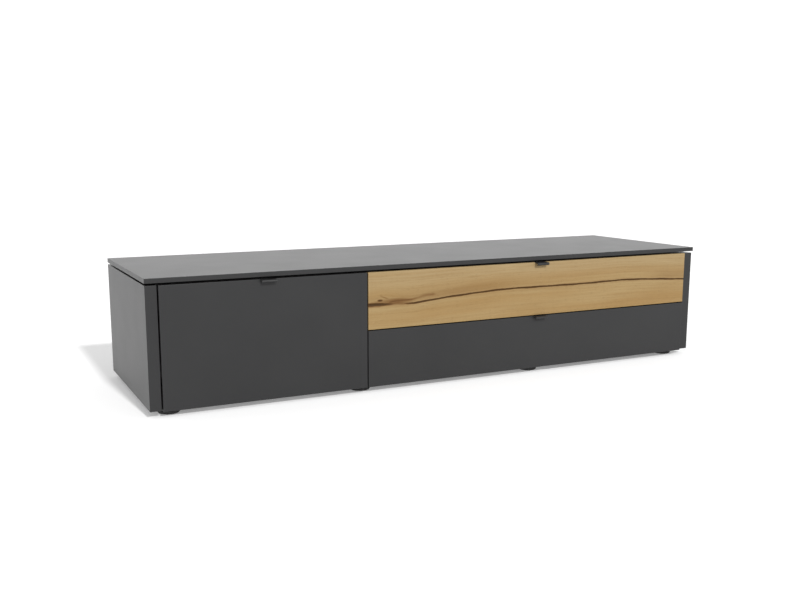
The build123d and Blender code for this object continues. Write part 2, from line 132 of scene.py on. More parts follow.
camera_data = bpy.data.cameras.new("camera")
camera_data.lens = CAMERA_LENS
camera_data.sensor_width = SENSOR_WIDTH
camera_data.shift_x, camera_data.shift_y = CAMERA_SHIFT
camera = bpy.data.objects.new("camera", camera_data)
camera.location = CAMERA_PLACE
camera.rotation_euler = (math.pi / 2 - CAMERA_TILT_DOWN, 0.0, -CAMERA_TURN_RIGHT)
scene.collection.objects.link(camera)
scene.camera = camera

# ---------------------------------------------------------------- lacquered panels
# The side panels, the thin top plate and the two plain fronts are fibreboard, sprayed all over with
# a satin anthracite lacquer. It has a faint orange peel, and its sharp edges are rubbed a little.
ANTHRACITE_DARK = (0.0140, 0.0140, 0.0146)
ANTHRACITE_LIGHT = (0.0168, 0.0168, 0.0173)
RUBBED_LACQUER = (0.09, 0.09, 0.09)
LACQUER_EDGE = 0.0012
PEEL_HEIGHT = 0.00001
CLOUD_SPAN = (0.35, 0.65)   # between these, most of a cloudy noise lies
EDGE_LIKENESS = 0.85        # how alike the true and the rounded normal are on an edge, and on a flat
FLAT_LIKENESS = 0.99


def stretch(finish, amounts=(1.0, 1.0, 1.0), place=None):
    """Object coordinates, or another place, multiplied by an amount on each axis."""
    if place is None:
        place = add(finish, "TexCoord", {}).outputs["Object"]
    return add(finish, "Mapping", {"Vector": place, "Scale": amounts}).outputs["Vector"]


def noise(finish, place, scale=1.0, detail=2.0, roughness=0.5):
    """Cloudy noise from 0 to 1. Its scale is features to the metre where the place isn't stretched."""
    inputs = {"Vector": place, "Scale": scale, "Detail": detail, "Roughness": roughness}
    return add(finish, "TexNoise", inputs).outputs["Fac"]


def combine(finish, operation, first, second):
    """One number made of two."""
    return add(finish, "Math", {0: first, 1: second}, operation=operation).outputs["Value"]


def blend_colours(finish, share, first, second):
    """The first colour where the share is 0, the second where it is 1."""
    node = add(finish, "Mix", {"Factor": share}, data_type="RGBA")
    colour_sockets = [socket for socket in node.inputs if socket.type == "RGBA"]
    for socket, colour in zip(colour_sockets, (first, second)):
        if isinstance(colour, bpy.types.NodeSocket):
            finish.node_tree.links.new(colour, socket)
        else:
            socket.default_value = (*colour, 1.0)
    return next(socket for socket in node.outputs if socket.type == "RGBA")


def weighted(finish, *patterns):
    """The sum of two patterns, each multiplied by its weight."""
    first, second = [combine(finish, "MULTIPLY", pattern, weight) for pattern, weight in patterns]
    return combine(finish, "ADD", first, second)


def graded(finish, pattern, span, first, second, share=1.0):
    """The first colour where the pattern is at its span's start. At its end the second has a share."""
    return blend_colours(finish, remap(finish, pattern, *span, 0.0, share), first, second)


def edge_share(finish, radius):
    """1 on a board's edges and 0 on its flats, from how far a normal turns once edges are rounded."""
    rounded = add(finish, "Bevel", {"Radius": radius}, samples=4).outputs["Normal"]
    plain = add(finish, "NewGeometry", {}).outputs["Normal"]
    alike = add(finish, "VectorMath", {0: rounded, 1: plain}, operation="DOT_PRODUCT").outputs["Value"]
    return remap(finish, alike, FLAT_LIKENESS, EDGE_LIKENESS)


def worn_edges(finish, body, rubbed, radius, share):
    """The body's colour, with a share of the rubbed colour along edges of this radius."""
    wear = combine(finish, "MULTIPLY", edge_share(finish, radius), share)
    return blend_colours(finish, wear, body, rubbed)


def shade(finish, colour, roughness, *relief):
    """Links colour, roughness and relief to the shader. A relief is a pattern and its height in metres."""
    links = finish.node_tree.links
    shader = finish.node_tree.nodes["Principled BSDF"]
    links.new(colour, shader.inputs["Base Color"])
    links.new(roughness, shader.inputs["Roughness"])
    normal = None
    for height, distance in relief:
        inputs = {"Height": height, "Distance": distance, "Strength": 1.0}
        if normal is not None:
            inputs["Normal"] = normal
        normal = add(finish, "Bump", inputs).outputs["Normal"]
    if normal is not None:
        links.new(normal, shader.inputs["Normal"])


def paint(finish, *nodes):
    """Gives CAD nodes a finish."""
    for name in nodes:
        for material_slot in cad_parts[name].material_slots:
            material_slot.material = finish


def anthracite_lacquer():
    """Dark grey satin lacquer: cloudy by a few percent, its sheen in patches, its peel 2 mm across."""
    finish = make_finish("anthracite_lacquer", {"Specular IOR Level": 0.3})
    place = stretch(finish)
    clouds = noise(finish, place, scale=4.0, detail=4.0)
    speckle = noise(finish, place, scale=1400.0, detail=1.0)
    tone = weighted(finish, (clouds, 0.8), (speckle, 0.2))
    body = graded(finish, tone, CLOUD_SPAN, ANTHRACITE_DARK, ANTHRACITE_LIGHT)
    patches = remap(finish, noise(finish, place, scale=60.0, detail=3.0), 0.45, 0.7, 0.0, 0.35)
    colour = worn_edges(finish, body, RUBBED_LACQUER, LACQUER_EDGE, patches)
    sheen = noise(finish, place, scale=9.0, detail=5.0)
    roughness = remap(finish, sheen, 0.3, 0.7, 0.37, 0.39)
    peel = noise(finish, place, scale=480.0, detail=1.0)
    shade(finish, colour, roughness, (peel, PEEL_HEIGHT))
    return finish


lacquer = anthracite_lacquer()
paint(lacquer, "left_side_panel", "right_side_panel", "top_plate", "deep_front", "lower_front")

# ---------------------------------------------------------------- carcase boards
# The boards between the side panels are chipboard in a dark grey facing with a fine pearly texture.
# Only their front edges and, with the drawers out, their faces show.
CARCASE_DARK = (0.020, 0.020, 0.021)
CARCASE_LIGHT = (0.028, 0.028, 0.029)
PEARL_SIZE = 0.0012
BOARD_EDGE = 0.0008


def textured_facing(name, dark, light, grain_size):
    """Melamine facing: a pearly relief, grain_size across, with a little of the tone in its hollows."""
    finish = make_finish(name, {"IOR": 1.5})
    place = stretch(finish)
    pearl = noise(finish, place, scale=1.0 / grain_size, roughness=0.6)
    clouds = noise(finish, place, scale=6.0, detail=3.0)
    tone = weighted(finish, (clouds, 0.6), (pearl, 0.4))
    body = graded(finish, tone, CLOUD_SPAN, dark, light)
    colour = worn_edges(finish, body, [1.8 * part for part in light], BOARD_EDGE, 0.3)
    roughness = remap(finish, pearl, 0.3, 0.7, 0.42, 0.58)
    shade(finish, colour, roughness, (pearl, 0.00003))
    return finish


carcase_facing = textured_facing("dark_textured_facing", CARCASE_DARK, CARCASE_LIGHT, PEARL_SIZE)
paint(carcase_facing, "bottom_panel", "inner_top_panel", "centre_divider", "top_plate_spacers")

# ---------------------------------------------------------------- back panels
# Two thin hardboard panels slide in grooves behind the drawers. They are rolled with matt dark paint,
# which leaves fine upright lines and lets the board's fibres show.
HARDBOARD_DARK = (0.013, 0.013, 0.0135)
HARDBOARD_LIGHT = (0.024, 0.0235, 0.023)


def painted_hardboard():
    """Matt dark paint over pressed fibres: upright roller lines 2 mm apart, fibre specks, a dull sheen."""
    finish = make_finish("painted_hardboard", {"IOR": 1.45})
    place = stretch(finish)
    roller = noise(finish, stretch(finish, (480.0, 480.0, 7.0)))
    fibres = noise(finish, place, scale=900.0, detail=3.0, roughness=0.7)
    clouds = noise(finish, place, scale=5.0, detail=4.0)
    tone = weighted(finish, (clouds, 0.5), (fibres, 0.5))
    colour = graded(finish, tone, CLOUD_SPAN, HARDBOARD_DARK, HARDBOARD_LIGHT)
    roughness = remap(finish, roller, 0.3, 0.7, 0.55, 0.72)
    shade(finish, colour, roughness, (fibres, 0.00003), (roller, 0.00003))
    return finish


paint(painted_hardboard(), "back_panel_left", "back_panel_right")

# ---------------------------------------------------------------- oak front
# The upper right front is one solid, oiled oak board. A drying crack, dark with age, runs out of a
# small knot near its left end, and the grain follows both. A notch and a pocket are milled for its
# pull tab.
OAK_EDGE = 0.001            # the radius of its rounded edges
OAK_EDGE_POINTS = 5
SHARP_EDGE = math.radians(32.0)    # a mesh is smooth over any lesser turn
TAB_METAL = 0.002
NOTCH_PLAY = 0.0002         # on each side of the tab
NOTCH_WALL = 0.00001        # the width of a sheer wall on the grid
POCKET_DEPTH = 0.002
POCKET_HEIGHT = 0.0232      # down from the board's top edge
OAK_COLUMN_STEP = 0.0025
CRACK_BAND = 0.005          # the fine rows each side of the crack
SMEAR_BAND = 0.024          # the rows above it that carry the knot and the brown smears
LOWER_ROWS = 15
CRACK_ROWS = 19
SMEAR_ROWS = 18
UPPER_ROWS = 13
BACK_ROWS = 14
POCKET_ROWS = 4
CRACK_DEPTH = 0.0024
CRACK_HALF_WIDTH = 0.0021
BRANCH_DEPTH = 0.0005
KNOT = (0.037, 0.0825)      # from the board's left end and lower edge
KNOT_DEPTH = 0.0006
KNOT_HALF_LENGTH = 0.009
KNOT_HALF_HEIGHT = 0.0036
GRAIN_REACH = 0.07          # how far from the crack the grain follows it
GRAIN_LEVEL = 0.08          # the crack's own growth layer
HEART_LIGHT = (0.267, 0.189, 0.088)
HEART_DARK = (0.233, 0.145, 0.056)
PALE_STRAW = (0.266, 0.197, 0.104)
RING_BROWN = (0.203, 0.123, 0.046)
FIBRE_BROWN = (0.182, 0.115, 0.048)
RAY_FLECK = (0.324, 0.244, 0.136)
PORE_BROWN = (0.092, 0.053, 0.021)
TANNIN_BROWN = (0.110, 0.052, 0.016)
TANNIN_BLACK = (0.046, 0.022, 0.006)

oak_low, oak_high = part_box("upper_front")
oak_tab_low, oak_tab_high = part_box("upper_tab")
oak_length = oak_high.x - oak_low.x
oak_height = oak_high.z - oak_low.z


def smooth_line(at, places, heights):
    """The height at each place along a line through some points. Between two points it is the cubic
    whose slope at a point is the slope of the straight line between that point's neighbours."""
    slopes = np.gradient(heights, places)
    start = np.clip(np.searchsorted(places, at, side="right") - 1, 0, len(places) - 2)
    span = places[start + 1] - places[start]
    share = (at - places[start]) / span
    rest = 1.0 - share
    leaving = heights[start] * rest * rest * (1 + 2 * share)
    arriving = heights[start + 1] * share * share * (3 - 2 * share)
    bends = span * share * rest * (slopes[start] * rest - slopes[start + 1] * share)
    return leaving + arriving + bends


def bell(value, centre, width):
    """1 at the centre, falling off like a bell curve."""
    return np.exp(-(((value - centre) / width) ** 2))


def grid_faces(rows, columns, first=0):
    """The squares between neighbouring points of a grid, which is stored row by row."""
    row, column = np.meshgrid(np.arange(rows - 1), np.arange(columns - 1), indexing="ij")
    corner = (first + row * columns + column).ravel()
    return np.stack([corner, corner + 1, corner + columns + 1, corner + columns], axis=1)


def rounding(distance):
    """How far a face has dropped back at this distance from its edge, on a quarter circle of OAK_EDGE."""
    inside = np.clip(OAK_EDGE - distance, 0.0, OAK_EDGE)
    return OAK_EDGE - np.sqrt(OAK_EDGE**2 - inside**2)


quarter_turn = np.linspace(0.0, math.pi / 2, OAK_EDGE_POINTS)
edge_steps = OAK_EDGE * (1.0 - np.cos(quarter_turn))
notch_left = oak_tab_low.x - oak_low.x - NOTCH_PLAY
notch_right = oak_tab_high.x - oak_low.x + NOTCH_PLAY
notch_floor = oak_tab_high.z - TAB_METAL - oak_low.z

oak_columns = np.arange(2 * OAK_EDGE, oak_length - 2 * OAK_EDGE, OAK_COLUMN_STEP)
notch_columns = [notch_left - NOTCH_WALL, notch_left, notch_right, notch_right + NOTCH_WALL]
oak_x = np.unique(np.concatenate([edge_steps, oak_columns, notch_columns, oak_length - edge_steps]))
in_notch = (oak_x >= notch_left) & (oak_x <= notch_right)
oak_top = np.where(in_notch, notch_floor, oak_height)

# The crack's course: points listed along the board, in millimetres from its lower left corner.
crack_run = np.array([0, 60, 150, 200, 250, 320, 450, 600, 760, 940, 1050, 1130, 1182]) / 1000
crack_rise = np.array([71.5, 70.5, 68.5, 73, 77.5, 82, 88.5, 88.5, 88, 90, 85.5, 81, 78]) / 1000
crack_course = smooth_line(oak_x, crack_run, crack_rise)
crack_course += 0.0003 * np.sin(oak_x / 0.013) + 0.0001 * np.sin(oak_x / 0.0031 + 1.0)


def oak_rows():
    """The heights of the front face's rows in each column: evenly spread from the lower edge to the
    crack, close together at it and over the smears, and evenly spread again up to the top edge."""
    below = np.linspace(0.0, 1.0, LOWER_ROWS)[:, None]
    above = np.linspace(0.0, 1.0, UPPER_ROWS)[:, None]
    fine = np.linspace(-CRACK_BAND, CRACK_BAND, CRACK_ROWS)[:, None]
    smear = np.linspace(CRACK_BAND, SMEAR_BAND, SMEAR_ROWS)[1:, None]
    lower = OAK_EDGE + below * (crack_course - CRACK_BAND - OAK_EDGE)
    upper = crack_course + SMEAR_BAND + above * (oak_top - OAK_EDGE - crack_course - SMEAR_BAND)
    bottom_edge = np.repeat(edge_steps[:-1, None], len(oak_x), axis=1)
    top_edge = oak_top - edge_steps[:-1][::-1, None]
    return np.concatenate([
        bottom_edge, lower[:-1], crack_course + fine, crack_course + smear, upper[1:], top_edge])


front_z = oak_rows()
front_x = np.repeat(oak_x[None, :], len(front_z), axis=0)
from_crack = front_z - crack_course

# The crack gapes most at the left end and on the right half, and closes over beside the knot.
crack_opening = 1.0 - 0.75 * bell(oak_x, centre=0.098, width=0.026)
crack_opening += 0.25 * bell(oak_x, centre=0.02, width=0.03)
crack_width = CRACK_HALF_WIDTH * (1.0 + 0.12 * np.sin(oak_x / 0.021) + 0.05 * np.sin(oak_x / 0.0047))
crack_width *= 1.0 + 0.9 * bell(oak_x, centre=0.01, width=0.045)
groove = crack_opening * np.exp(-np.abs(from_crack / crack_width) ** 3)

# A second, shallow branch leaves the crack beside the knot and fades out above it.
branch_run = np.array([50, 76, 100, 140, 155, 180, 215, 240]) / 1000
branch_rise = np.array([71, 77, 79, 79.5, 82, 88, 89.5, 90]) / 1000
branch_course = smooth_line(np.clip(oak_x, branch_run[0], branch_run[-1]), branch_run, branch_rise)
branch_depth = np.interp(oak_x, [0.05, 0.07, 0.13, 0.16, 0.21, 0.235], [0.0, 1.0, 0.9, 0.55, 0.7, 0.0])
branch_width = 0.0036 + 0.0022 * bell(oak_x, centre=0.19, width=0.045)
branch = branch_depth * bell(front_z, branch_course, branch_width)

# The knot's heart is an ellipse, and a short streak slopes down to the right above it.
knot_reach = np.hypot((front_x - KNOT[0]) / KNOT_HALF_LENGTH, (front_z - KNOT[1]) / KNOT_HALF_HEIGHT)
knot_heart = np.exp(-(knot_reach**4))
streak_course = 0.0925 - 0.35 * (front_x - 0.045)
knot_streak = bell(front_x, centre=0.052, width=0.016) * bell(front_z, streak_course, width=0.0016)

ends_distance = np.minimum(front_x, oak_length - front_x)
edges_distance = np.minimum(front_z, oak_top - front_z)
front_drop = rounding(np.minimum(ends_distance, edges_distance))
front_y = front_drop + CRACK_DEPTH * groove + BRANCH_DEPTH * branch + KNOT_DEPTH * knot_heart

# Tannin has darkened the wood: black-brown in the crack, brown along the branch and round the knot,
# smoky between them, and a warm flush above.
beside_crack = np.exp(-np.abs(from_crack / (1.3 * crack_width)) ** 4) * np.minimum(crack_opening, 1.0)
closed_crack = 0.5 * bell(oak_x, centre=0.105, width=0.03) * bell(from_crack, centre=0.0, width=0.004)
thin_flush = 0.20 * np.minimum(crack_opening, 1.0) * np.exp(-np.abs(from_crack) / 0.004)
wide_flush = 0.22 * bell(front_x, centre=0.26, width=0.26) + 0.18 * bell(front_x, centre=1.13, width=0.10)
wide_flush *= bell(from_crack, centre=0.013, width=0.016)
smoke_course = 0.0765 + 0.02 * (front_x - 0.08)
smoke_reach = np.hypot((front_x - 0.080) / 0.080, (front_z - smoke_course) / 0.0105)
smoke = np.exp(-(smoke_reach**4)) * (0.42 + 0.16 * bell(front_x, centre=0.095, width=0.035))
front_stain = np.maximum.reduce([
    groove, beside_crack, closed_crack, thin_flush, wide_flush, smoke, 0.75 * branch, 0.95 * knot_heart,
    0.6 * knot_streak])


def grain_height(x, z):
    """Which growth layer a point is in. Near the crack the layers run along it, towards the board's
    edges they straighten, and round the knot they part."""
    course = np.interp(x, oak_x, crack_course)
    follows = np.exp(-np.abs(z - course) / GRAIN_REACH)
    parted = bell(x, KNOT[0], width=0.05) * bell(z, KNOT[1], width=0.02)
    return z - follows * (course - GRAIN_LEVEL) - 0.7 * parted * (z - KNOT[1])


# The back face is flat, but for a pocket as deep as the tab's leg is thick, below the notch.
pocket_floor = oak_height - POCKET_HEIGHT
below_pocket = np.linspace(0.0, 1.0, BACK_ROWS)[:, None]
beside_pocket = np.linspace(0.0, 1.0, POCKET_ROWS)[:, None]
back_z = np.concatenate([
    np.repeat(edge_steps[:-1, None], len(oak_x), axis=1),
    OAK_EDGE + below_pocket * (pocket_floor - NOTCH_WALL - OAK_EDGE) + 0.0 * oak_x,
    pocket_floor + beside_pocket * (oak_top - OAK_EDGE - pocket_floor),
    oak_top - edge_steps[:-1][::-1, None]])
back_x = np.repeat(oak_x[None, :], len(back_z), axis=0)
back_distance = np.minimum(np.minimum(back_x, oak_length - back_x), np.minimum(back_z, oak_top - back_z))
in_pocket = in_notch & (back_z >= pocket_floor - NOTCH_WALL / 2)
oak_thickness = oak_high.y - oak_low.y
back_y = oak_thickness - np.where(in_pocket, POCKET_DEPTH, rounding(back_distance))

# Both faces are grids with the same columns. Four strips of faces close the board round its edges.
front_points = np.stack([front_x, front_y, front_z], axis=-1).reshape(-1, 3)
back_points = np.stack([back_x, back_y, back_z], axis=-1).reshape(-1, 3)
oak_points = np.concatenate([front_points, back_points])
oak_count = len(oak_x)
back_first = len(front_points)
front_faces = grid_faces(len(front_z), oak_count)
back_faces = grid_faces(len(back_z), oak_count, back_first)[:, ::-1]
run = np.arange(oak_count - 1)
front_top_row = back_first - oak_count
back_top_row = len(oak_points) - oak_count
top_faces = np.stack(
    [front_top_row + run, front_top_row + run + 1, back_top_row + run + 1, back_top_row + run], axis=1)
bottom_faces = np.stack([run, back_first + run, back_first + run + 1, run + 1], axis=1)
front_left_end = np.arange(len(front_z)) * oak_count
back_left_end = back_first + np.arange(len(back_z)) * oak_count
right_end = np.concatenate([back_left_end, front_left_end[::-1]]) + oak_count - 1
left_end = np.concatenate([front_left_end, back_left_end[::-1]])
oak_faces = [*front_faces, *back_faces, *top_faces, *bottom_faces, right_end, left_end]


def make_piece(name, points, faces, finish, body, slot):
    """A closed mesh in the dresser's frame that rides on a body, smooth except at its sharp edges."""
    mesh = bpy.data.meshes.new(name)
    mesh.from_pydata(points, [], faces)
    mesh.polygons.foreach_set("use_smooth", np.ones(len(mesh.polygons), bool))
    mesh.set_sharp_from_angle(angle=SHARP_EDGE)
    mesh.materials.append(finish)
    piece = bpy.data.objects.new(name, mesh)
    scene.collection.objects.link(piece)
    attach(piece, body)
    return piece


def oiled_oak():
    """Oak in layers: broad bands of straw and honey, growth rings 6 mm apart, fine fibres, pale flecks
    and short dark pores. The stain attribute darkens the crack, its branch and the knot."""
    finish = make_finish("oiled_oak", {"Specular IOR Level": 0.12})
    grain = add(finish, "Attribute", {}, attribute_name="grain").outputs["Vector"]
    stain = add(finish, "Attribute", {}, attribute_name="stain").outputs["Fac"]
    bands = noise(finish, stretch(finish, (1.6, 22.0, 22.0), grain), detail=3.0)
    rings = noise(finish, stretch(finish, (2.4, 170.0, 170.0), grain), detail=3.0, roughness=0.6)
    fibres = noise(finish, stretch(finish, (16.0, 1300.0, 1300.0), grain))
    pores = noise(finish, stretch(finish, (60.0, 2300.0, 2300.0), grain), detail=1.0)
    rays = noise(finish, stretch(finish, (90.0, 500.0, 500.0), grain), detail=1.0)
    heart = graded(finish, bands, (0.36, 0.64), HEART_LIGHT, HEART_DARK)
    height = add(finish, "SeparateXYZ", {"Vector": grain}).outputs["Z"]
    straw = graded(finish, height, (0.100, 0.145), heart, PALE_STRAW, 0.75)
    ringed = graded(finish, rings, (0.45, 0.7), straw, RING_BROWN, 0.55)
    fibred = graded(finish, fibres, (0.4, 0.75), ringed, FIBRE_BROWN, 0.4)
    flecked = graded(finish, rays, (0.68, 0.8), fibred, RAY_FLECK, 0.35)
    ring_pores = remap(finish, rings, 0.4, 0.6, 0.35, 1.0)
    pore_share = combine(finish, "MULTIPLY", remap(finish, pores, 0.62, 0.7), ring_pores)
    pored = blend_colours(finish, combine(finish, "MULTIPLY", pore_share, 0.6), flecked, PORE_BROWN)
    browned = graded(finish, stain, (0.0, 0.6), pored, TANNIN_BROWN)
    colour = graded(finish, stain, (0.55, 1.0), browned, TANNIN_BLACK)
    roughness = remap(finish, fibres, 0.3, 0.7, 0.42, 0.55)
    shade(finish, colour, roughness, (rings, 0.00004), (fibres, 0.00003), (pore_share, -0.00008))
    return finish


oak_grain = oak_points.copy()
oak_grain[:, 2] = grain_height(oak_points[:, 0], oak_points[:, 2])
oak_stain = np.concatenate([front_stain.ravel(), np.zeros(len(back_points))])
oak_board = make_piece(
    "oak_front_board", oak_points + np.array(oak_low), oak_faces, oiled_oak(), "upper_drawer", "oak")
oak_board.data.attributes.new("grain", "FLOAT_VECTOR", "POINT").data.foreach_set("vector", oak_grain.ravel())
oak_board.data.attributes.new("stain", "FLOAT", "POINT").data.foreach_set("value", oak_stain)
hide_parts("upper_front")

# ---------------------------------------------------------------- pull tabs
# Each front is pulled by a tab of bent aluminium strip, coated in a fine satin anthracite. Its free
# edge is rolled down and back, and its leg is screwed to the back of the front.
RUBBED_TAB = (0.10, 0.10, 0.10)
TAB_EDGE = 0.0006


def coated_tab():
    """Powder coat: an even, very fine grain, dark, a little brighter where fingers rub its edges."""
    finish = make_finish("coated_tab", {"Specular IOR Level": 0.3})
    place = stretch(finish)
    grit = noise(finish, place, scale=2600.0, roughness=0.6)
    clouds = noise(finish, place, scale=70.0, detail=3.0)
    body = graded(finish, clouds, CLOUD_SPAN, ANTHRACITE_DARK, ANTHRACITE_LIGHT)
    colour = worn_edges(finish, body, RUBBED_TAB, TAB_EDGE, 0.4)
    roughness = remap(finish, grit, 0.3, 0.7, 0.38, 0.5)
    shade(finish, colour, roughness, (grit, 0.000012))
    return finish


paint(coated_tab(), "deep_tab", "lower_tab", "upper_tab")

# ---------------------------------------------------------------- drawer boxes
# The boxes are boards in a light grey facing, embossed like linen, with a thinner bottom of the same.
# The bottom slides in grooves, and the front is screwed on through the box's own inner front.
LINEN_DARK = (0.300, 0.285, 0.255)
LINEN_LIGHT = (0.365, 0.350, 0.315)
FINE_THREADS = 1100.0       # noise features to the metre, across the threads and along them
LONG_THREADS = 45.0


def linen_facing(name, dark, light):
    """Light facing embossed like cloth: threads 0.9 mm apart along each axis, so any face has two sets."""
    finish = make_finish(name, {"IOR": 1.5})
    threads = []
    for across in range(3):
        amounts = [LONG_THREADS] * 3
        amounts[across] = FINE_THREADS
        threads.append(noise(finish, stretch(finish, amounts), detail=1.0))
    weave = combine(finish, "ADD", combine(finish, "ADD", threads[0], threads[1]), threads[2])
    clouds = noise(finish, stretch(finish), scale=5.0, detail=3.0)
    tone = weighted(finish, (weave, 0.25), (clouds, 0.25))
    body = graded(finish, tone, (0.38, 0.62), dark, light)
    colour = worn_edges(finish, body, [0.75 * part for part in dark], BOARD_EDGE, 0.5)
    roughness = remap(finish, weave, 1.2, 1.8, 0.5, 0.62)
    shade(finish, colour, roughness, (weave, 0.00003))
    return finish


box_facing = linen_facing("linen_facing", LINEN_DARK, LINEN_LIGHT)
drawers = ("deep", "lower", "upper")
box_boards = ("left", "right", "inner_front", "back", "bottom")
for drawer in drawers:
    paint(box_facing, *[f"{drawer}_box_{board}" for board in box_boards])

# ---------------------------------------------------------------- runners
# Each drawer runs on a pair of three-part telescopic runners, rolled from zinc-plated steel strip.
# The outer rail is screwed to the carcase, the inner one to the drawer, and the middle one joins them.
RUNNER_DARK = (0.44, 0.45, 0.47)
RUNNER_LIGHT = (0.56, 0.57, 0.58)
BRIGHT_STEEL = (0.80, 0.80, 0.80)
STEEL_EDGE = 0.0004
ALONG_RUNNER = (900.0, 12.0, 900.0)


def plated_steel(name, along, dark, light):
    """Zinc-plated steel: streaks along the rolling direction, and a patchy, slightly milky plating."""
    finish = make_finish(name, {"Metallic": 1.0})
    place = stretch(finish)
    streaks = noise(finish, stretch(finish, along))
    patches = noise(finish, place, scale=55.0, detail=4.0)
    tone = weighted(finish, (streaks, 0.5), (patches, 0.5))
    body = graded(finish, tone, (0.38, 0.62), dark, light)
    colour = worn_edges(finish, body, BRIGHT_STEEL, STEEL_EDGE, 0.4)
    roughness = remap(finish, patches, 0.3, 0.7, 0.26, 0.42)
    shade(finish, colour, roughness, (streaks, 0.000006))
    return finish


runner_plating = plated_steel("plated_runner_steel", ALONG_RUNNER, RUNNER_DARK, RUNNER_LIGHT)
for drawer in drawers:
    paint(runner_plating, *[f"{drawer}_{rail}_rails" for rail in ("cabinet", "middle", "drawer")])

# ---------------------------------------------------------------- ball rows
# Steel balls run between the rails, eight rows to a pair of runners. A stamped strip keeps each row
# apart, and both travel with the middle rails.
MIDDLE_RAIL_START = 0.0024   # from the wall to the middle rail
BALL_RADIUS = 0.002
BALL_SPACING = 0.0115
BALL_ROWS = (                # distance from the wall, distance from the runner's middle, and the row's
    (0.0060, 0.01915, 0.240, 0.445),         # first and last place behind the middle rail's front end
    (0.0074, 0.01360, 0.005, 0.220))
STRIP_HALF_WIDTH = 0.0026
STRIP_HALF_THICKNESS = 0.00035
BALL_TURNS = 8
BALL_RINGS = 5
BALL_DARK = (0.52, 0.52, 0.53)
BALL_LIGHT = (0.66, 0.66, 0.67)
ALL_WAYS = (600.0, 600.0, 600.0)
TURNED_OVER = [0, 3, 2, 1]   # a square's corners in the order that turns it over


def ring_faces(rings, spokes, first=0):
    """The squares between neighbouring rings of points. Each ring closes on itself."""
    ring = first + np.arange(rings - 1)[:, None] * spokes
    step = np.arange(spokes)
    after = (step + 1) % spokes
    squares = np.stack([ring + step, ring + after, ring + spokes + after, ring + spokes + step], axis=-1)
    return squares.reshape(-1, 4)


def fan_faces(middle, ring, spokes):
    """The triangles between a middle point and a ring whose first point is given."""
    step = np.arange(spokes)
    return np.stack([np.full(spokes, middle), ring + step, ring + (step + 1) % spokes], axis=1)


def ball_shape(centre):
    """A sphere on a grid of two angles, with a point at each pole. Its poles lie along the row."""
    height = np.linspace(0.0, math.pi, BALL_RINGS + 2)[1:-1, None]
    turn = np.linspace(0.0, 2 * math.pi, BALL_TURNS, endpoint=False)[None, :]
    rings = np.stack([
        np.sin(height) * np.cos(turn), np.cos(height) + 0.0 * turn, np.sin(height) * np.sin(turn)], axis=-1)
    points = np.concatenate([[[0, 1, 0]], rings.reshape(-1, 3), [[0, -1, 0]]]) * BALL_RADIUS + centre
    last_ring = 1 + (BALL_RINGS - 1) * BALL_TURNS
    near_fan = fan_faces(0, 1, BALL_TURNS)[:, ::-1]
    far_fan = fan_faces(last_ring + BALL_TURNS, last_ring, BALL_TURNS)
    return points, [*near_fan, *ring_faces(BALL_RINGS, BALL_TURNS, 1), *far_fan]


def strip_shape(start, end):
    """The strip between a row's balls: a flat bar whose width goes in and out along a cosine, between
    half of its full width midway and all of it round each ball."""
    place = np.arange(start[1] - BALL_SPACING / 2, end[1] + BALL_SPACING / 2, BALL_SPACING / 6)
    wave = 0.75 + 0.25 * np.cos(2 * math.pi * (place - start[1]) / BALL_SPACING)
    corner_x = np.array([-1, 1, 1, -1]) * STRIP_HALF_WIDTH
    corner_z = np.array([-1, -1, 1, 1]) * STRIP_HALF_THICKNESS
    along = place[:, None] + 0.0 * corner_x
    across = start[0] + wave[:, None] * corner_x
    points = np.stack([across, along, start[2] + 0.0 * along + corner_z], axis=-1)
    corner = np.arange(4)
    ends = [corner, (len(place) - 1) * 4 + corner[::-1]]
    return points.reshape(-1, 3), [*ring_faces(len(place), 4)[:, TURNED_OVER], *ends]


def ball_row_shapes(rails_node):
    """The balls and strips of one drawer's pair of runners, placed from its middle rails."""
    shapes = []
    rails_low, rails_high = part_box(rails_node)
    level = (rails_low.z + rails_high.z) / 2
    for rail_edge, inwards in ((rails_low.x, 1), (rails_high.x, -1)):
        wall = rail_edge - inwards * MIDDLE_RAIL_START
        for from_wall, from_middle, first, last in BALL_ROWS:
            for side in (-1, 1):
                x = wall + inwards * from_wall
                z = level + side * from_middle
                places = rails_low.y + np.arange(first + BALL_RADIUS, last - BALL_RADIUS, BALL_SPACING)
                shapes += [ball_shape((x, y, z)) for y in places]
                shapes.append(strip_shape((x, places[0], z), (x, places[-1], z)))
    return shapes


def joined(shapes):
    """The points and faces of several closed shapes, as those of one mesh."""
    points = np.concatenate([shape_points for shape_points, shape_faces in shapes])
    starts = np.cumsum([0] + [len(shape_points) for shape_points, shape_faces in shapes])
    faces = [[int(corner) + start for corner in face]
             for start, (shape_points, shape_faces) in zip(starts, shapes) for face in shape_faces]
    return points, faces


ball_steel = plated_steel("polished_ball_steel", ALL_WAYS, BALL_DARK, BALL_LIGHT)
for drawer in drawers:
    balls_and_strips = joined(ball_row_shapes(f"{drawer}_middle_rails"))
    make_piece(f"{drawer}_ball_rows", *balls_and_strips, ball_steel, f"{drawer}_runner", "runner_steel")

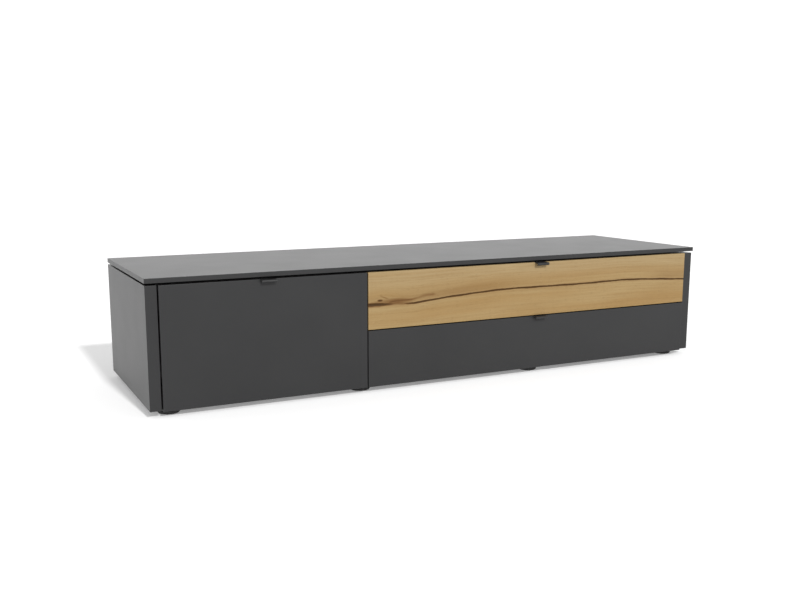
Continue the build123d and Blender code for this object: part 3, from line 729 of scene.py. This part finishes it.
# ---------------------------------------------------------------- screws and carcase fittings
# Screws and bolts are plated steel, the eccentric cams are die cast, and the dowels are fluted beech.
# The screws whose heads show have a cross recess, stamped into a domed head.
SCREW_SPOKES = 32
SCREW_RINGS = 9
RECESS_DEPTH = 0.45         # as a share of the head's height
RECESS_ARM = 0.58           # the reach and half width of its arms, as shares of the head's radius
RECESS_HALF_WIDTH = 0.13
RECESS_END_SLOPE = 14.0
RECESS_SIDE_SLOPE = 30.0
DOME_FALL = 0.55            # how much of the head's height is lost from its middle to its rim
THREAD_DEPTH = 0.12         # as a share of the shank's radius
THREAD_STEP = 0.0018
THREAD_START = 0.0005       # below the head
TIP_LENGTH = 0.003
TIP_RADIUS = 0.3            # as a share of the shank's radius
PLATE_SCREW = (0.005, 0.0028, 0.0025)        # head radius, head height, shank radius
FRONT_SCREW = (0.0045, 0.0024, 0.00225)
RAIL_SCREW = (0.0035, 0.0014, 0.002)
SCREW_DARK = (0.42, 0.41, 0.37)
SCREW_LIGHT = (0.54, 0.53, 0.49)
SCREW_STREAKS = (400.0, 400.0, 400.0)
ZINC_DARK = (0.27, 0.27, 0.28)
ZINC_LIGHT = (0.38, 0.38, 0.39)
BEECH_DARK = (0.50, 0.33, 0.17)
BEECH_LIGHT = (0.60, 0.42, 0.24)
BEECH_FLECK = (0.30, 0.16, 0.07)

screw_plating = plated_steel("plated_screw_steel", SCREW_STREAKS, SCREW_DARK, SCREW_LIGHT)
paint(screw_plating, "divider_screws", "foot_screws", "cabinet_rail_screws", "cam_bolts")
paint(screw_plating, *[f"{drawer}_tab_screws" for drawer in drawers])


def solid_boxes(node):
    """The lowest and highest corners of each separate solid in a CAD node. Points at one place count as
    one, and each triangle hands its lowest label to its corners until no label changes."""
    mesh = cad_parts[node].data
    mesh_points = np.empty(3 * len(mesh.vertices))
    mesh.vertices.foreach_get("co", mesh_points)
    mesh_corners = np.empty(len(mesh.loops), dtype=np.int32)
    mesh.loops.foreach_get("vertex_index", mesh_corners)
    places, place_of = np.unique(np.round(mesh_points.reshape(-1, 3), 6), axis=0, return_inverse=True)
    triangles = place_of.ravel()[mesh_corners].reshape(-1, 3)
    labels = np.arange(len(places))
    settled = False
    while not settled:
        handed_on = labels.copy()
        np.minimum.at(handed_on, triangles.ravel(), np.repeat(labels[triangles].min(axis=1), 3))
        settled = np.array_equal(handed_on, labels)
        labels = handed_on
    solids = [places[labels == label] for label in np.unique(labels)]
    return [(solid.min(axis=0), solid.max(axis=0)) for solid in solids]


def smooth_step(value, slope):
    """0 well below zero and 1 well above it, along the S of a logistic curve."""
    return 1.0 / (1.0 + np.exp(-slope * value))


def pan_head(radius, height):
    """Rings of points from the middle of a head to its rim: a dome, whose height falls with the fourth
    power of the distance, less a recess where either arm of a cross covers the point."""
    share = np.linspace(0.0, 1.0, SCREW_RINGS)[1:, None]
    angle = np.linspace(0.0, 2 * math.pi, SCREW_SPOKES, endpoint=False)[None, :]
    across, up = share * np.cos(angle), share * np.sin(angle)
    arms = [
        smooth_step(RECESS_ARM - np.abs(along), RECESS_END_SLOPE)
        * smooth_step(RECESS_HALF_WIDTH - np.abs(beside), RECESS_SIDE_SLOPE)
        for along, beside in ((across, up), (up, across))]
    raised = 1.0 - DOME_FALL * share**4 - RECESS_DEPTH * np.maximum(*arms)
    return np.stack([radius * across, radius * up, height * raised], axis=-1)


def turned_screw(low, high, head_towards, head_radius, head_height, shank_radius):
    """One screw along an axis: a pan head at one end of its box, and a shank whose radius goes in and
    out with the thread. Rings of points run from the head's middle round to the tip."""
    axis = next(index for index in range(3) if head_towards[index])
    length = high[axis] - low[axis]
    tip = head_height - length
    head = pan_head(head_radius, head_height)
    depth = np.arange(0.0, length - head_height - TIP_LENGTH, THREAD_STEP / 3)
    wave = 0.5 - 0.5 * np.cos(2 * math.pi * depth / THREAD_STEP)
    thread = shank_radius * (1.0 - THREAD_DEPTH * wave)
    radii = np.concatenate([[head_radius, shank_radius], thread, [TIP_RADIUS * shank_radius]])[:, None]
    heights = np.concatenate([[0.0, 0.0], -depth - THREAD_START, [tip]])[:, None]
    angle = np.linspace(0.0, 2 * math.pi, SCREW_SPOKES, endpoint=False)
    shank = np.stack([radii * np.cos(angle), radii * np.sin(angle), heights + 0.0 * angle], axis=-1)
    local = np.concatenate([
        [[0.0, 0.0, head_height * (1.0 - RECESS_DEPTH)]], head.reshape(-1, 3), shank.reshape(-1, 3),
        [[0.0, 0.0, tip]]])
    turned = local @ np.array(Vector(head_towards).to_track_quat("Z", "Y").to_matrix()).T
    seat = (low + high) / 2
    seat[axis] += head_towards[axis] * (length / 2 - head_height)
    ring_count = len(head) + len(shank)
    last_ring = 1 + (ring_count - 1) * SCREW_SPOKES
    middle_fan = fan_faces(0, 1, SCREW_SPOKES)
    tip_fan = fan_faces(last_ring + SCREW_SPOKES, last_ring, SCREW_SPOKES)[:, ::-1]
    sides = ring_faces(ring_count, SCREW_SPOKES, 1)[:, TURNED_OVER]
    return turned + seat, [*middle_fan, *sides, *tip_fan]


def screw_piece(name, node, body, heads_towards, sizes):
    """Turned screws in the places of a node's plain ones. heads_towards tells the way of the head on a
    screw from the screw's middle."""
    screws = [
        turned_screw(low, high, heads_towards((low + high) / 2), *sizes) for low, high in solid_boxes(node)]
    piece = make_piece(name, *joined(screws), screw_plating, body, "fitting_steel")
    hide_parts(node)


screw_piece("plate_pan_screws", "top_plate_screws", "carcase", lambda middle: (0, 0, -1), PLATE_SCREW)
for drawer in drawers:
    box_low, box_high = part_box(f"{drawer}_box_bottom")
    box_middle = (box_low.x + box_high.x) / 2
    screw_piece(
        f"{drawer}_front_pan_screws", f"{drawer}_front_screws", f"{drawer}_drawer",
        lambda middle: (0, 1, 0), FRONT_SCREW)
    screw_piece(
        f"{drawer}_rail_pan_screws", f"{drawer}_drawer_rail_screws", f"{drawer}_drawer",
        lambda middle: (-1, 0, 0) if middle[0] < box_middle else (1, 0, 0), RAIL_SCREW)


def die_cast_zinc():
    """Dull cast zinc: a pebbled skin half a millimetre across, darker in its hollows."""
    finish = make_finish("die_cast_zinc", {"Metallic": 1.0})
    place = stretch(finish)
    skin = noise(finish, place, scale=2000.0, detail=3.0)
    colour = graded(finish, skin, CLOUD_SPAN, ZINC_DARK, ZINC_LIGHT)
    roughness = remap(finish, skin, 0.3, 0.7, 0.45, 0.6)
    shade(finish, colour, roughness, (skin, 0.00002))
    return finish


def fluted_beech():
    """Pale beech with short brown flecks along the grain, which runs across the dresser's width."""
    finish = make_finish("fluted_beech", {"IOR": 1.45})
    fibres = noise(finish, stretch(finish, (30.0, 900.0, 900.0)))
    flecks = noise(finish, stretch(finish, (250.0, 1500.0, 1500.0)), detail=1.0)
    body = graded(finish, fibres, CLOUD_SPAN, BEECH_DARK, BEECH_LIGHT)
    colour = graded(finish, flecks, (0.62, 0.72), body, BEECH_FLECK, 0.6)
    roughness = remap(finish, fibres, 0.3, 0.7, 0.6, 0.75)
    shade(finish, colour, roughness, (fibres, 0.00004))
    return finish


paint(die_cast_zinc(), "cam_housings")
paint(fluted_beech(), "carcase_dowels")

# ---------------------------------------------------------------- bumpers
# Small flat buttons of soft, clear plastic, stuck to the carcase where the fronts close on it. They are
# a little thinner than the gap behind a closed front.
BUMPER_DULL = (0.70, 0.71, 0.70)
BUMPER_CLEAR = (0.82, 0.82, 0.81)


def clear_plastic():
    """Slightly milky soft plastic with a smooth, faintly wavy skin."""
    finish = make_finish("clear_soft_plastic", {"IOR": 1.49, "Transmission Weight": 0.6})
    place = stretch(finish)
    haze = noise(finish, place, scale=400.0)
    colour = graded(finish, haze, CLOUD_SPAN, BUMPER_DULL, BUMPER_CLEAR)
    roughness = remap(finish, haze, 0.3, 0.7, 0.12, 0.25)
    shade(finish, colour, roughness, (haze, 0.00002))
    return finish


paint(clear_plastic(), "front_bumpers")

# ---------------------------------------------------------------- feet
# Eight disc feet, moulded in black plastic with a fine spark-eroded texture and a ring of grips round
# the waist. Each stands on a disc of pressed felt and is screwed to the bottom panel from below.
FOOT_SPOKES = 144
FOOT_RIM = 0.0012           # the radius of its rounded rims
FOOT_CORNER_POINTS = 5
FOOT_DISC = 0.0045          # from the bottom to the lower disc's upper rounding
WAIST_START = 0.0062
WAIST_INSET = 0.0025        # in from the rim, at the waist's ends and then at its middle
WAIST_BOW = 0.0008
WAIST_POINTS = 9
FLANGE_HEIGHT = 0.004
FLANGE_CHAMFER = 0.0003
FLAT_INSET = 0.0045         # from the rim to the flat discs that close it
FOOT_GRIPS = 36
GRIP_DEPTH = 0.0007
GRIP_RISE = 0.0005          # of the grips' middle above the foot's
GRIP_HALF_HEIGHT = 0.0035
GRIP_INSETS = (0.0015, 0.004)    # the grips lie where the outline is between these in from the rim
FOOT_DARK = (0.008, 0.008, 0.008)
FOOT_LIGHT = (0.013, 0.013, 0.013)
RUBBED_FOOT = (0.05, 0.05, 0.05)
FELT_DARK = (0.010, 0.010, 0.010)
FELT_LIGHT = (0.028, 0.027, 0.026)


def moulded_plastic():
    """Black plastic: an even spark-eroded grain half a millimetre across."""
    finish = make_finish("moulded_black_plastic", {"IOR": 1.47})
    place = stretch(finish)
    grain = noise(finish, place, scale=2200.0, roughness=0.6)
    clouds = noise(finish, place, scale=40.0, detail=3.0)
    body = graded(finish, clouds, CLOUD_SPAN, FOOT_DARK, FOOT_LIGHT)
    colour = worn_edges(finish, body, RUBBED_FOOT, TAB_EDGE, 0.3)
    roughness = remap(finish, grain, 0.3, 0.7, 0.5, 0.65)
    shade(finish, colour, roughness, (grain, 0.00002))
    return finish


def pressed_felt():
    """Black felt: fibres lying all ways, a fuzzy sheen and an uneven surface."""
    finish = make_finish("pressed_felt", {"Sheen Weight": 0.4, "Sheen Roughness": 0.6, "IOR": 1.4})
    place = stretch(finish)
    fibres = noise(finish, place, scale=3000.0, detail=4.0, roughness=0.8)
    tufts = noise(finish, place, scale=350.0, detail=3.0)
    tone = combine(finish, "MULTIPLY", combine(finish, "ADD", fibres, tufts), 0.5)
    colour = graded(finish, tone, CLOUD_SPAN, FELT_DARK, FELT_LIGHT)
    roughness = remap(finish, fibres, 0.3, 0.7, 0.88, 1.0)
    shade(finish, colour, roughness, (fibres, 0.00012), (tufts, 0.0002))
    return finish


def foot_profile(radius, bottom, top):
    """Radius and height along a foot's outline, from its lower face out round the rim, the waist and
    the flange, and back in on top. Each round corner is a quarter circle."""
    corner = np.linspace(0.0, math.pi / 2, FOOT_CORNER_POINTS)
    outwards = FOOT_RIM * np.sin(corner)
    inwards = FOOT_RIM * np.cos(corner)
    flange_low = top - FLANGE_HEIGHT
    rim_middle = radius - FOOT_RIM
    rim_low = np.stack([rim_middle + outwards, bottom + FOOT_RIM - inwards], axis=1)
    rim_high = np.stack([rim_middle + inwards, bottom + FOOT_DISC + outwards], axis=1)
    hollow = np.linspace(bottom + WAIST_START, flange_low, WAIST_POINTS)
    bow = WAIST_BOW * np.sin(np.linspace(0.0, math.pi, WAIST_POINTS))
    neck = np.stack([radius - WAIST_INSET - bow, hollow], axis=1)
    flange = np.stack([rim_middle + outwards, flange_low + FOOT_RIM - inwards], axis=1)
    lower_flat = [[radius - FLAT_INSET, bottom]]
    upper_flat = [
        [radius, top - FLANGE_CHAMFER], [radius - FLANGE_CHAMFER, top], [radius - FLAT_INSET, top]]
    return np.concatenate([lower_flat, rim_low, rim_high, neck, flange, upper_flat])


def foot_shape(centre_x, centre_y, radius, bottom, top):
    """The outline turned about the foot's axis. On the waist the radius also goes in and out with the
    angle, which makes the grips. Flat discs close it above and below."""
    outline = foot_profile(radius, bottom, top)
    inset = radius - outline[:, 0]
    grip_depth = GRIP_DEPTH * bell(outline[:, 1], (bottom + top) / 2 + GRIP_RISE, GRIP_HALF_HEIGHT)
    grip_depth *= (inset > GRIP_INSETS[0]) & (inset < GRIP_INSETS[1])
    angle = np.linspace(0.0, 2 * math.pi, FOOT_SPOKES, endpoint=False)
    reach = outline[:, :1] - grip_depth[:, None] * (0.5 - 0.5 * np.cos(FOOT_GRIPS * angle))
    x = centre_x + reach * np.cos(angle)
    y = centre_y + reach * np.sin(angle)
    points = np.stack([x, y, outline[:, 1:] + 0.0 * angle], axis=-1)
    spoke = np.arange(FOOT_SPOKES)
    last_ring = (len(outline) - 1) * FOOT_SPOKES
    sides = ring_faces(len(outline), FOOT_SPOKES)
    return points.reshape(-1, 3), [*sides, spoke[::-1], last_ring + spoke]


feet_plastic = moulded_plastic()
for row in ("front", "rear"):
    feet = [
        foot_shape(*(low + high)[:2] / 2, (high[1] - low[1]) / 2, low[2], high[2])
        for low, high in solid_boxes(f"{row}_feet")]
    feet_piece = make_piece(f"{row}_disc_feet", *joined(feet), feet_plastic, "carcase", "foot_plastic")
    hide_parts(f"{row}_feet")
paint(pressed_felt(), "foot_glides")
